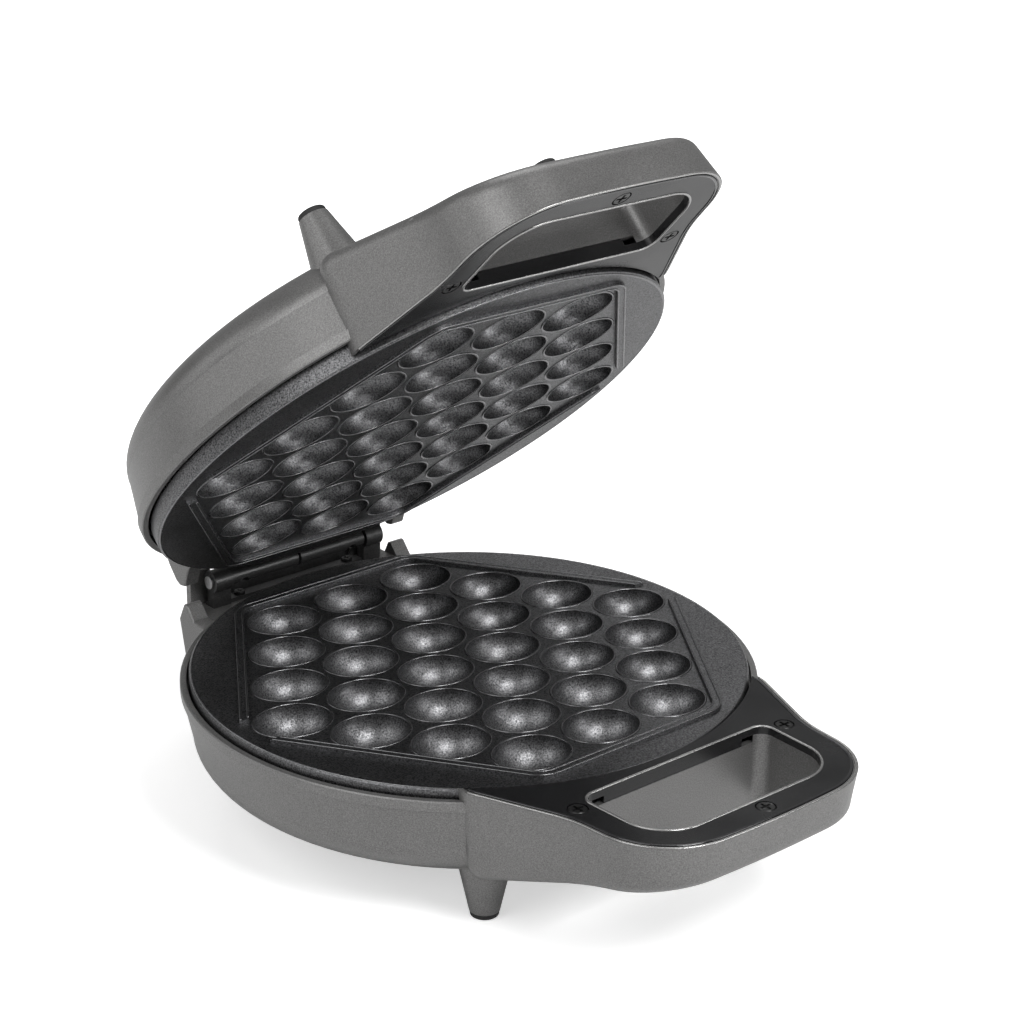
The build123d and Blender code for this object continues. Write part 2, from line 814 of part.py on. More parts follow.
def lid_nodes(shared):
    """Make every piece of the lid in its half frame; like pieces are shared with the base."""
    middle = (leaf_front + lid_housing_back) / 2
    lowered = Pos(0, 0, -lid_casing_drop)
    return {
        "lid_shell": make_lid_shell(),
        "lid_handle_cover": lowered * shared["base_handle_cover"],
        "lid_cover_screws": lowered * shared["base_cover_screws"],
        "lid_plate": shared["base_plate"],
        "lid_heating_element": shared["base_heating_element"],
        "lid_reflector": shared["base_reflector"],
        "lid_plate_screws": shared["base_plate_screws"],
        "lid_foot_pads": lowered * shared["base_foot_pads"],
        "lid_hinge_bracket": make_lid_hinge_bracket(),
        "lid_hinge_screws": hinge_screws(-lid_housing_shelf, middle),
        "thermal_fuse": make_thermal_fuse(),
        "power_lamp_lens": lowered * make_lamp_lens(-1),
        "ready_lamp_lens": lowered * make_lamp_lens(1),
        "lamp_holder": lowered * make_lamp_holder(),
    }


def lid_place(angle):
    """Give the move that turns the closed lid open by an angle about the hinge."""
    centre = (0, hinge_back, hinge_rise)
    back = (0, -hinge_back, -hinge_rise)
    return Pos(*centre) * Rot(-angle, 0, 0) * Pos(*back)


def build_all():
    """Build every node at the photographed opening, standing on its pads."""
    base = base_nodes()
    lid = lid_nodes(base)
    placed = dict(base)
    for name, shape in lid.items():
        closed = Pos(0, 0, plate_gap) * mirror(shape, about=Plane.XY)
        placed[name] = lid_place(open_angle) * closed
    box = Compound(list(placed.values())).bounding_box()
    shift_y = -(box.min.Y + box.max.Y) / 2
    stand = Pos(0, shift_y, foot_height)
    return {name: stand * shape for name, shape in placed.items()}, shift_y


nodes, centre_shift = build_all()
os.makedirs("parts", exist_ok=True)
for name, shape in nodes.items():
    export_step(shape, "parts/" + name + ".step")
print("nodes", len(nodes))
print("shift along Y", round(centre_shift, 4))
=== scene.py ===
"""Dresses the bubble waffle maker: plates, shells, covers, hinge and small parts, in metres.

Every new surface is worked out in a half frame, where the plate's face is at z = 0, the bowls and
the shell go down to negative z and the handle points to -y. Placement.carry turns that half frame
into the row frame, upright for the base and mirrored and swung open for the lid.
"""

from __future__ import annotations

import logging
import math
from dataclasses import dataclass
from enum import Enum

import bmesh
import bpy
import numpy as np
from mathutils import Matrix, Vector


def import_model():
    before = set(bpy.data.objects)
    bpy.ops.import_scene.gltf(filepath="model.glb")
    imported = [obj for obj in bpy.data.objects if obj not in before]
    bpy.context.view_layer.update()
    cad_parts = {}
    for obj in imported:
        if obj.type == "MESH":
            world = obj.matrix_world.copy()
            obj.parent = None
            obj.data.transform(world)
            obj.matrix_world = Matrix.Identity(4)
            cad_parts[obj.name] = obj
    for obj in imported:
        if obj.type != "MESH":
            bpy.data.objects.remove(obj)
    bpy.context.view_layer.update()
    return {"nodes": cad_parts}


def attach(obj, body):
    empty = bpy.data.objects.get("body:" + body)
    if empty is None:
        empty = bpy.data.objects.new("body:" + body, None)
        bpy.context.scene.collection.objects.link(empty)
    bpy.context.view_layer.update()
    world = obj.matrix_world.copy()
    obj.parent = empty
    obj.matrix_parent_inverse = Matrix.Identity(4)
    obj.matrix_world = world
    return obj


LOG = logging.getLogger("waffle_maker")

# Points of a mesh this near each other become one, and a corner that looks sharp has this radius
MERGE_DISTANCE = 1e-7
SHARP_CORNER = 1e-4
# Points round a bead's profile
BEAD_SIDES = 8
# The middle of a noise, the span that most of it keeps to, and the cloud's shade over that span
NOISE_MIDDLE = 0.5
NOISE_SPAN = (0.3, 0.7)
CLOUD_SHADE = (0.94, 1.06)
# How closely handling marks repeat each way, and the crests of their noise that show
SCUFF_STRETCH = (0.25, 1.0, 1.8)
SCUFF_CREST = (0.56, 0.72)

Colour = tuple[float, float, float]
Place = tuple[float, float, float]


class Half(Enum):
    """The two halves of the clamshell, named as the bodies that carry them."""

    BASE = "base"
    LID = "lid"


# Node helpers and shared effects


class NodeBoard:
    """A small helper that lays nodes and links on one node tree."""

    def __init__(self, tree: bpy.types.NodeTree) -> None:
        """Keep the node tree, a material's or a group's, that is written to."""
        self.tree = tree

    def node(self, kind: str, **values: object) -> bpy.types.Node:
        """Add one node and set its fields and input sockets.

        Args:
            kind: The node's type name.
            values: Fields of the node, or input sockets by name with spaces as underscores.

        Returns:
            The new node.
        """
        made = self.tree.nodes.new(kind)
        for key, value in values.items():
            if hasattr(made, key):
                setattr(made, key, value)
            else:
                made.inputs[key.replace("_", " ")].default_value = value
        return made

    def link(self, source: bpy.types.NodeSocket, target: bpy.types.NodeSocket) -> None:
        """Join an output socket to an input socket."""
        self.tree.links.new(source, target)

    def blend_colour(
        self, factor: bpy.types.NodeSocket, low: Colour, high: Colour
    ) -> bpy.types.NodeSocket:
        """Mix two colours by a mask.

        Args:
            factor: The mask's socket.
            low: Red, green and blue where the mask is 0.
            high: Red, green and blue where the mask is 1.

        Returns:
            The colour socket.
        """
        mix = self.tree.nodes.new("ShaderNodeMix")
        mix.data_type = "RGBA"
        mix.inputs["A"].default_value = (*low, 1.0)
        mix.inputs["B"].default_value = (*high, 1.0)
        self.link(factor, mix.inputs["Factor"])
        return mix.outputs["Result"]

    def spread(
        self, value: bpy.types.NodeSocket, low: float, high: float, start: float, end: float
    ) -> bpy.types.NodeSocket:
        """Map a value's range onto another range, clamped.

        Args:
            value: The socket to map.
            low: Lowest value in.
            high: Highest value in.
            start: Value out at the lowest.
            end: Value out at the highest.

        Returns:
            The mapped socket.
        """
        mapped = self.node("ShaderNodeMapRange")
        for name, number in (
            ("From Min", low), ("From Max", high), ("To Min", start), ("To Max", end)
        ):
            mapped.inputs[name].default_value = number
        self.link(value, mapped.inputs["Value"])
        return mapped.outputs["Result"]


def new_group(name: str, inputs: dict, outputs: dict) -> tuple:
    """Start a shader node group with named sockets.

    Args:
        name: The group's name.
        inputs: Input names with their default numbers.
        outputs: Output names with their socket types.

    Returns:
        The group's tree, its board, its input node and its output node.
    """
    tree = bpy.data.node_groups.new(name, "ShaderNodeTree")
    for title, default in inputs.items():
        kind = "NodeSocketVector" if isinstance(default, tuple) else "NodeSocketFloat"
        socket = tree.interface.new_socket(name=title, in_out="INPUT", socket_type=kind)
        if not isinstance(default, tuple):
            socket.default_value = default
    for title, kind in outputs.items():
        tree.interface.new_socket(name=title, in_out="OUTPUT", socket_type=kind)
    board = NodeBoard(tree)
    return tree, board, board.node("NodeGroupInput"), board.node("NodeGroupOutput")


class Effects:
    """The shared surface effects, each built once as a node group."""

    _made: dict[str, bpy.types.NodeTree] = {}

    @classmethod
    def grain(cls) -> bpy.types.NodeTree:
        """Grain of two sizes: a mask of small specks, a height for bump and a slow cloud.

        The height is a fine noise. The mask is the same noise, drawn out about its middle so
        that it runs from 0 to 1 within plus or minus the contrast. The cloud is a coarser
        noise.

        Returns:
            The group, with inputs Vector, Fine Scale, Coarse Scale and Contrast and the
            outputs Mask, Height and Cloud.
        """
        if "grain" not in cls._made:
            tree, board, entry, leave = new_group(
                "surface_grain",
                {
                    "Vector": (0, 0, 0), "Fine Scale": 1500.0, "Coarse Scale": 300.0,
                    "Contrast": 0.2,
                },
                dict.fromkeys(("Mask", "Height", "Cloud"), "NodeSocketFloat"),
            )
            fine = board.node("ShaderNodeTexNoise", Detail=2.0, Roughness=0.6)
            coarse = board.node("ShaderNodeTexNoise", Detail=3.0, Roughness=0.5)
            for noise, scale in ((fine, "Fine Scale"), (coarse, "Coarse Scale")):
                board.link(entry.outputs["Vector"], noise.inputs["Vector"])
                board.link(entry.outputs[scale], noise.inputs["Scale"])
            low = board.node("ShaderNodeMath", operation="SUBTRACT")
            low.inputs[0].default_value = NOISE_MIDDLE
            high = board.node("ShaderNodeMath", operation="ADD")
            high.inputs[0].default_value = NOISE_MIDDLE
            for edge in (low, high):
                board.link(entry.outputs["Contrast"], edge.inputs[1])
            sharp = board.node("ShaderNodeMapRange")
            board.link(fine.outputs["Fac"], sharp.inputs["Value"])
            board.link(low.outputs[0], sharp.inputs["From Min"])
            board.link(high.outputs[0], sharp.inputs["From Max"])
            board.link(sharp.outputs["Result"], leave.inputs["Mask"])
            board.link(fine.outputs["Fac"], leave.inputs["Height"])
            board.link(coarse.outputs["Fac"], leave.inputs["Cloud"])
            cls._made["grain"] = tree
        return cls._made["grain"]

    @classmethod
    def scuffs(cls) -> bpy.types.NodeTree:
        """Fine handling marks: a stretched noise, of which only the highest crests are kept.

        Returns:
            The group, with inputs Vector, Scale and Amount and the output Mask.
        """
        if "scuffs" not in cls._made:
            tree, board, entry, leave = new_group(
                "handling_scuffs",
                {"Vector": (0, 0, 0), "Scale": 220.0, "Amount": 1.0},
                {"Mask": "NodeSocketFloat"},
            )
            stretch = board.node("ShaderNodeMapping")
            stretch.inputs["Scale"].default_value = SCUFF_STRETCH
            board.link(entry.outputs["Vector"], stretch.inputs["Vector"])
            noise = board.node("ShaderNodeTexNoise", Detail=5.0, Roughness=0.65)
            board.link(stretch.outputs["Vector"], noise.inputs["Vector"])
            board.link(entry.outputs["Scale"], noise.inputs["Scale"])
            crest = board.spread(noise.outputs["Fac"], *SCUFF_CREST, 0.0, 1.0)
            final = board.node("ShaderNodeMath", operation="MULTIPLY")
            board.link(crest, final.inputs[0])
            board.link(entry.outputs["Amount"], final.inputs[1])
            board.link(final.outputs[0], leave.inputs["Mask"])
            cls._made["scuffs"] = tree
        return cls._made["scuffs"]


# Finishes


@dataclass(frozen=True)
class Finish:
    """One surface finish: two colours that a fine grain mixes, gloss and a little relief."""

    name: str
    dark: Colour
    light: Colour
    metallic: float = 0.0
    rough_low: float = 0.35
    rough_high: float = 0.5
    fine_scale: float = 1500.0
    coarse_scale: float = 120.0
    contrast: float = 0.25
    relief: float = 0.1
    relief_depth: float = 0.0001
    wear: float = 0.0
    wear_colour: Colour = (0.5, 0.5, 0.5)
    coat: float = 0.0
    coat_rough: float = 0.1
    specular: float = 0.5

    def material(self) -> bpy.types.Material:
        """Build the material once and hand it out again afterwards.

        The base colour is the grain's mask between the dark and the light colour, shaded a
        little by the cloud, with scuffs of the wear colour where there is wear. Roughness
        follows the cloud, and the grain's height is the bump.

        Returns:
            The finished material.
        """
        found = bpy.data.materials.get(self.name)
        if found is not None:
            return found
        made = bpy.data.materials.new(self.name)
        made.use_nodes = True
        made.node_tree.nodes.clear()
        board = NodeBoard(made.node_tree)
        shader = board.node(
            "ShaderNodeBsdfPrincipled",
            Metallic=self.metallic, Coat_Weight=self.coat, Coat_Roughness=self.coat_rough,
            Specular_IOR_Level=self.specular,
        )
        output = board.node("ShaderNodeOutputMaterial")
        board.link(shader.outputs["BSDF"], output.inputs["Surface"])
        place = board.node("ShaderNodeTexCoord")
        grain = board.node("ShaderNodeGroup", node_tree=Effects.grain())
        board.link(place.outputs["Object"], grain.inputs["Vector"])
        grain.inputs["Fine Scale"].default_value = self.fine_scale
        grain.inputs["Coarse Scale"].default_value = self.coarse_scale
        grain.inputs["Contrast"].default_value = self.contrast
        colour = board.blend_colour(grain.outputs["Mask"], self.dark, self.light)
        colour = self.cloud(board, grain.outputs["Cloud"], colour)
        rough = board.spread(
            grain.outputs["Cloud"], *NOISE_SPAN, self.rough_low, self.rough_high
        )
        if self.wear > 0:
            colour = self.worn(board, place.outputs["Object"], colour)
        board.link(colour, shader.inputs["Base Color"])
        board.link(rough, shader.inputs["Roughness"])
        bump = board.node("ShaderNodeBump", Strength=self.relief, Distance=self.relief_depth)
        board.link(grain.outputs["Height"], bump.inputs["Height"])
        board.link(bump.outputs["Normal"], shader.inputs["Normal"])
        made.diffuse_color = (*self.light, 1.0)
        return made

    def cloud(
        self, board: NodeBoard, mask: bpy.types.NodeSocket, colour: bpy.types.NodeSocket
    ) -> bpy.types.NodeSocket:
        """Darken and lighten a colour slowly over the surface.

        Args:
            board: The material's board.
            mask: The coarse cloud.
            colour: The colour to vary.

        Returns:
            The varied colour.
        """
        vary = board.node("ShaderNodeHueSaturation")
        board.link(board.spread(mask, *NOISE_SPAN, *CLOUD_SHADE), vary.inputs["Value"])
        board.link(colour, vary.inputs["Color"])
        return vary.outputs["Color"]

    def worn(
        self, board: NodeBoard, place: bpy.types.NodeSocket, colour: bpy.types.NodeSocket
    ) -> bpy.types.NodeSocket:
        """Let the wear colour show through in fine scuffs.

        Args:
            board: The material's board.
            place: The position that breaks the wear up.
            colour: The colour between the scuffs.

        Returns:
            The colour with wear.
        """
        wear = board.node("ShaderNodeGroup", node_tree=Effects.scuffs())
        board.link(place, wear.inputs["Vector"])
        wear.inputs["Amount"].default_value = self.wear
        mix = board.node("ShaderNodeMix", data_type="RGBA")
        board.link(wear.outputs["Mask"], mix.inputs["Factor"])
        board.link(colour, mix.inputs["A"])
        mix.inputs["B"].default_value = (*self.wear_colour, 1.0)
        return mix.outputs["Result"]

    def dress(self, piece: bpy.types.Object) -> None:
        """Give a mesh object this finish as its only material."""
        piece.data.materials.clear()
        piece.data.materials.append(self.material())


SHELL_PAINT = Finish(
    "speckled_grey_paint", (0.085, 0.084, 0.083), (0.3, 0.297, 0.293),
    metallic=0.6, rough_low=0.36, rough_high=0.42, fine_scale=2500, coarse_scale=30,
    contrast=0.34, relief=0.12, relief_depth=0.0001, coat=0.1, coat_rough=0.3,
)
# A lighter, glossier copy of the shell's grey: a painted highlight for the bright lines along the
# rims
RIM_HIGHLIGHT = Finish(
    "grey_rim_painted_highlight", (0.3, 0.297, 0.293), (0.55, 0.546, 0.54),
    metallic=0.8, rough_low=0.22, rough_high=0.3, fine_scale=2500, coarse_scale=60,
    contrast=0.34, relief=0.08, relief_depth=0.0001,
)
COVER_BLACK = Finish(
    "moulded_black", (0.006, 0.006, 0.0065), (0.011, 0.011, 0.0115),
    rough_low=0.2, rough_high=0.28, fine_scale=1400, coarse_scale=60, relief=0.04,
    specular=0.4,
)
COVER_EDGE = Finish(
    "polished_black_edge", (0.012, 0.012, 0.013), (0.02, 0.02, 0.021),
    rough_low=0.1, rough_high=0.18, fine_scale=1400, coarse_scale=80, relief=0.03,
    specular=0.7, coat=0.5, coat_rough=0.08,
)
NON_STICK = Finish(
    "dark_non_stick", (0.018, 0.018, 0.0195), (0.27, 0.27, 0.276),
    metallic=0.97, rough_low=0.36, rough_high=0.42, fine_scale=1900, coarse_scale=45,
    contrast=0.24, relief=0.5, relief_depth=0.00014,
)
# Lighter than the plate's coat: partly worn coating, partly a painted highlight for the bright
# rim lines
NON_STICK_EDGE_WEAR_AND_SHEEN = Finish(
    "non_stick_rim_wear_and_sheen", (0.1, 0.1, 0.104), (0.3, 0.3, 0.306),
    metallic=0.95, rough_low=0.22, rough_high=0.3, fine_scale=1900, coarse_scale=45,
    relief=0.2,
)
ELEMENT_STEEL = Finish(
    "dull_steel_tube", (0.22, 0.21, 0.2), (0.4, 0.39, 0.37), metallic=0.9,
    rough_low=0.4, rough_high=0.55, relief=0.15,
)
BRIGHT_SHEET = Finish(
    "bright_sheet", (0.55, 0.55, 0.56), (0.72, 0.72, 0.73), metallic=1.0,
    rough_low=0.22, rough_high=0.35, fine_scale=900, relief=0.05,
)
ZINC = Finish(
    "zinc_plate", (0.42, 0.42, 0.43), (0.6, 0.6, 0.6), metallic=1.0,
    rough_low=0.25, rough_high=0.4, wear=0.3, wear_colour=(0.75, 0.75, 0.75),
)
SCREW_BLACK = Finish(
    "blackened_steel", (0.012, 0.012, 0.012), (0.035, 0.035, 0.035), metallic=0.6,
    rough_low=0.25, rough_high=0.38, wear=0.8, wear_colour=(0.3, 0.3, 0.3),
)
PAD_RUBBER = Finish(
    "foot_rubber", (0.01, 0.01, 0.01), (0.022, 0.022, 0.022),
    rough_low=0.6, rough_high=0.75, relief=0.3,
)
# The hinge's own black; on the strip behind the hinge barrels the same black is painted shade
HINGE_BLACK_AND_SHADE = Finish(
    "hinge_enamel_and_painted_shade", (0.022, 0.022, 0.022), (0.05, 0.05, 0.05), metallic=0.35,
    rough_low=0.3, rough_high=0.42, wear=0.25, wear_colour=(0.2, 0.2, 0.2),
)
BLOCK_CREAM = Finish(
    "cream_moulding", (0.6, 0.56, 0.46), (0.72, 0.69, 0.6), rough_low=0.45, rough_high=0.6,
)
LENS_RED = Finish(
    "red_lens", (0.35, 0.008, 0.006), (0.5, 0.015, 0.01), rough_low=0.08, rough_high=0.14,
    relief=0.02, coat=0.8, coat_rough=0.03,
)
LENS_GREEN = Finish(
    "green_lens", (0.01, 0.25, 0.04), (0.02, 0.4, 0.08), rough_low=0.08, rough_high=0.14,
    relief=0.02, coat=0.8, coat_rough=0.03,
)


# Meshes on grids


class Surface:
    """Grids of points joined into one mesh."""

    def __init__(self) -> None:
        """Start with no points and no faces."""
        self.points: list[np.ndarray] = []
        self.faces: list[np.ndarray] = []
        self.count = 0

    def add_grid(self, grid: np.ndarray, wrap_rows: bool = True) -> None:
        """Add a grid of points as quads whose columns close a ring.

        Row i and column j of the grid make a quad with the next row and the next column.

        Args:
            grid: Points, rows by columns by 3.
            wrap_rows: Whether the last row joins the first.
        """
        rows, columns = grid.shape[:2]
        index = self.count + np.arange(rows * columns).reshape(rows, columns)
        across = np.roll(index, -1, axis=1)
        here, there = index, np.roll(index, -1, axis=0)
        next_across = np.roll(across, -1, axis=0)
        if not wrap_rows:
            here, across, there, next_across = (
                part[:-1] for part in (here, across, there, next_across)
            )
        quads = np.stack([here, across, next_across, there], axis=-1)
        self.points.append(grid.reshape(-1, 3))
        self.faces.append(quads.reshape(-1, 4))
        self.count += rows * columns

    def mesh(self, name: str) -> bpy.types.Object:
        """Make the mesh object, its doubles merged, smooth shaded, with its normals out.

        Args:
            name: The object's name.

        Returns:
            The new object, linked to the scene.
        """
        data = bpy.data.meshes.new(name)
        data.from_pydata(np.concatenate(self.points), [], np.concatenate(self.faces))
        work = bmesh.new()
        work.from_mesh(data)
        bmesh.ops.remove_doubles(work, verts=work.verts, dist=MERGE_DISTANCE)
        bmesh.ops.recalc_face_normals(work, faces=work.faces)
        work.to_mesh(data)
        work.free()
        data.shade_smooth()
        piece = bpy.data.objects.new(name, data)
        bpy.context.scene.collection.objects.link(piece)
        return piece


@dataclass(frozen=True)
class Placement:
    """Where the two half frames stand in the row frame, in metres and radians."""

    shift_back: float = 0.0152159
    stand: float = 0.0523
    hinge_back: float = 0.1006
    hinge_rise: float = 0.0053
    plate_gap: float = 0.0045
    casing_drop: float = 0.003
    opening: float = math.radians(45.0)

    def carry(self, points: np.ndarray, half: Half, casing: bool = False) -> np.ndarray:
        """Move half-frame points into the row frame.

        The base only shifts. The lid is mirrored in height, lifted by the plates' gap, and turned
        about the hinge so that its front goes up.

        Args:
            points: Points, any shape by 3.
            half: Which half they belong to.
            casing: Whether they belong to the casing, which the lid carries a little further
                back from the plate's face.

        Returns:
            The points in the row frame.
        """
        moved = np.array(points, float)
        if half is Half.LID:
            moved[..., 2] -= self.casing_drop if casing else 0.0
            moved[..., 2] = self.plate_gap - moved[..., 2]
            back = moved[..., 1] - self.hinge_back
            rise = moved[..., 2] - self.hinge_rise
            cos, sin = math.cos(self.opening), math.sin(self.opening)
            moved[..., 1] = back * cos + rise * sin + self.hinge_back
            moved[..., 2] = -back * sin + rise * cos + self.hinge_rise
        moved[..., 1] += self.shift_back
        moved[..., 2] += self.stand
        return moved


PLACE = Placement()


# Outlines and beads


def rounded_outline(corners: np.ndarray, radii: np.ndarray, steps: int = 24) -> np.ndarray:
    """Round the corners of a closed outline with arcs.

    At each corner the arc's ends lie a tangent length, radius times the tangent of half the
    turning angle, before and after the corner, and its centre lies a radius beside its start.

    Args:
        corners: Corner points, counted by 2.
        radii: One radius per corner.
        steps: Points in each arc.

    Returns:
        The outline's points, arc by arc.
    """
    before = corners - np.roll(corners, 1, axis=0)
    after = np.roll(corners, -1, axis=0) - corners
    before /= np.linalg.norm(before, axis=1, keepdims=True)
    after /= np.linalg.norm(after, axis=1, keepdims=True)
    cross = before[:, 0] * after[:, 1] - before[:, 1] * after[:, 0]
    turn = np.arctan2(cross, (before * after).sum(axis=1))
    reach = radii * np.tan(np.abs(turn) / 2)
    start = corners - before * reach[:, None]
    side = np.sign(turn)[:, None] * np.stack([-before[:, 1], before[:, 0]], axis=1)
    centre = start + side * radii[:, None]
    angle = turn[:, None] * np.linspace(0.0, 1.0, steps)[None, :]
    arm = -side * radii[:, None]
    across = arm[:, None, 0] * np.cos(angle) - arm[:, None, 1] * np.sin(angle)
    along = arm[:, None, 0] * np.sin(angle) + arm[:, None, 1] * np.cos(angle)
    return (centre[:, None, :] + np.stack([across, along], axis=-1)).reshape(-1, 2)


def resampled(outline: np.ndarray, count: int) -> np.ndarray:
    """Lay evenly spaced points along a closed outline.

    Args:
        outline: The outline's points.
        count: Points wanted.

    Returns:
        The evenly spaced points.
    """
    closed = np.concatenate([outline, outline[:1]])
    length = np.concatenate([[0.0], np.cumsum(np.linalg.norm(np.diff(closed, axis=0), axis=1))])
    at = np.linspace(0.0, length[-1], count, endpoint=False)
    return np.stack([np.interp(at, length, closed[:, axis]) for axis in (0, 1)], axis=1)


def sideways(outline: np.ndarray) -> np.ndarray:
    """Give each point of a closed outline its unit direction to the right of travel.

    The direction of travel at a point is the line from the point before to the point after.

    Args:
        outline: The outline's points.

    Returns:
        The directions, one per point.
    """
    run = np.roll(outline, -1, axis=0) - np.roll(outline, 1, axis=0)
    run /= np.linalg.norm(run, axis=1, keepdims=True)
    return np.stack([run[:, 1], -run[:, 0]], axis=1)


def bead(
    path: np.ndarray, side: np.ndarray, level: float, size: tuple[float, float],
    sides: int = BEAD_SIDES,
) -> np.ndarray:
    """Carry an oval profile along a level path.

    A point of the profile at angle t lies the width times cos t beside the path and the height
    times sin t above it.

    Args:
        path: The path's points, counted by 2.
        side: Unit sideways directions, one per path point.
        level: Height of the profile's middle.
        size: Half width and half height of the profile.
        sides: Points round the profile.

    Returns:
        A grid of points, path by profile by 3.
    """
    angle = np.linspace(0.0, 2 * math.pi, sides, endpoint=False)
    flat = path[:, None, :] + side[:, None, :] * (size[0] * np.cos(angle))[None, :, None]
    rise = np.broadcast_to(level + size[1] * np.sin(angle), flat.shape[:2])
    return np.concatenate([flat, rise[..., None]], axis=-1)


def closed_ends(grid: np.ndarray) -> np.ndarray:
    """Close both ends of an open bead by drawing its first and last ring in to their middles.

    Args:
        grid: The bead's points, path by profile by 3.

    Returns:
        The points with one shrunken ring more at each end.
    """
    first = np.broadcast_to(grid[0].mean(axis=0), grid[:1].shape)
    last = np.broadcast_to(grid[-1].mean(axis=0), grid[:1].shape)
    return np.concatenate([first, grid, last])


def stretches(keep: np.ndarray) -> list[np.ndarray]:
    """List the unbroken stretches of a closed path whose points are kept.

    Args:
        keep: One true or false per path point, with at least one false.

    Returns:
        The point numbers of each stretch.
    """
    first = int(np.argmin(keep))
    order = np.roll(np.arange(len(keep)), -first)
    breaks = np.flatnonzero(np.diff(keep[order].astype(int)) != 0) + 1
    return [part for part in np.split(order, breaks) if keep[part[0]]]


# Sub-assemblies


@dataclass
class BowlPlate:
    """The rims of one half's baking plate: a bead round every bowl and along the batter ribs."""

    half: Half
    pitch: float = 0.030
    row_step: float = 0.02226
    longest_row: int = 6
    rows_each_side: int = 3
    bowl_length: float = 0.0272
    bowl_width: float = 0.0231
    plate_radius: float = 0.09585
    rim_size: tuple[float, float] = (0.00042, 0.0003)
    rim_outset: float = 0.000168
    rim_points: int = 56
    rib_offset: float = 0.0158
    rib_width: float = 0.0032
    rib_height: float = 0.0012
    rib_corner: float = 0.009
    rib_gap: float = 0.017
    rib_gap_clear: float = 0.0002
    rib_end_inset: float = 0.0016
    rib_bead: tuple[float, float] = (0.00038, 0.00028)
    rib_points: int = 900
    edge_bead: tuple[float, float] = (0.0005, 0.0004)
    edge_inset: float = 0.0004
    edge_level: float = -0.0003
    edge_points: int = 360
    edge_sides: int = 10

    def bowl_spots(self) -> np.ndarray:
        """List the bowls' centres, row by row, each row shorter by one than its inner neighbour.

        Returns:
            The centres, counted by 2.
        """
        rows = np.arange(-self.rows_each_side, self.rows_each_side + 1)
        counts = self.longest_row - np.abs(rows)
        across = [(np.arange(count) - (count - 1) / 2) * self.pitch for count in counts]
        along = np.repeat(rows * self.row_step, counts)
        return np.stack([np.concatenate(across), along], axis=1)

    def bowl_rims(self) -> bpy.types.Object:
        """Make the beads round the bowls.

        Each bead follows an ellipse whose half axes are half a bowl's length and width plus the
        outset, and the upper half of it stands proud of the plate's face.

        Returns:
            One object with every bead.
        """
        angle = np.linspace(0.0, 2 * math.pi, self.rim_points, endpoint=False)
        reach = np.array([self.bowl_length / 2, self.bowl_width / 2]) + self.rim_outset
        ring = np.stack([np.cos(angle), np.sin(angle)], axis=1) * reach
        grid = bead(ring, sideways(ring), 0.0, self.rim_size)
        surface = Surface()
        for spot in self.bowl_spots():
            moved = grid.copy()
            moved[..., :2] += spot
            surface.add_grid(PLACE.carry(moved, self.half))
        return surface.mesh(f"{self.half.value}_bowl_rims")

    def rib_outline(self) -> np.ndarray:
        """Give the six-sided line outside the bowls that the ribs follow, corners rounded.

        Two sides lie an offset beyond the first and last row; the four others lie the same offset
        beyond the slanting ends of the rows.

        Returns:
            The line's points.
        """
        field = (self.longest_row - 1) * self.pitch / 2
        run = self.rows_each_side * self.pitch / 2
        back = self.rows_each_side * self.row_step
        slant = math.hypot(run, back)
        distance = field * back / slant + self.rib_offset
        line = back + self.rib_offset
        corner = (distance - line * run / slant) * slant / back
        tip = distance * slant / back
        first_half = np.array([[tip, 0.0], [corner, line], [-corner, line]])
        corners = np.concatenate([first_half, -first_half])
        radii = np.array([SHARP_CORNER, self.rib_corner, self.rib_corner] * 2)
        return resampled(rounded_outline(corners, radii), self.rib_points)

    def rib_lines(self) -> bpy.types.Object:
        """Make the two beads on each rib's top edges, broken where the ribs are broken.

        Returns:
            One object with every bead.
        """
        line = self.rib_outline()
        side = sideways(line)
        surface = Surface()
        for offset in (-1, 1):
            path = line + side * offset * (self.rib_width / 2 - self.rib_bead[0])
            inside = np.hypot(path[:, 0], path[:, 1]) < self.plate_radius - self.rib_end_inset
            keep = inside & (np.abs(path[:, 1]) > self.rib_gap / 2 + self.rib_gap_clear)
            for part in stretches(keep):
                grid = bead(path[part], side[part], self.rib_height, self.rib_bead)
                surface.add_grid(PLACE.carry(closed_ends(grid), self.half), wrap_rows=False)
        return surface.mesh(f"{self.half.value}_rib_lines")

    def edge_ring(self) -> bpy.types.Object:
        """Make the bead on the plate's outer edge, a circle just inside the plate's radius.

        Returns:
            The bead.
        """
        angle = np.linspace(0.0, 2 * math.pi, self.edge_points, endpoint=False)
        ring = np.stack([np.cos(angle), np.sin(angle)], axis=1)
        path = ring * (self.plate_radius - self.edge_bead[0] - self.edge_inset)
        surface = Surface()
        grid = bead(path, ring, self.edge_level, self.edge_bead, self.edge_sides)
        surface.add_grid(PLACE.carry(grid, self.half))
        return surface.mesh(f"{self.half.value}_plate_edge")

    def build(self) -> None:
        """Make, dress and mount the plate's beads."""
        for piece in (self.bowl_rims(), self.rib_lines(), self.edge_ring()):
            # The lighter rim coat on these beads is partly wear and partly painted highlight
            NON_STICK_EDGE_WEAR_AND_SHEEN.dress(piece)
            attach(piece, self.half.value)
            LOG.info("built %s", piece.name)


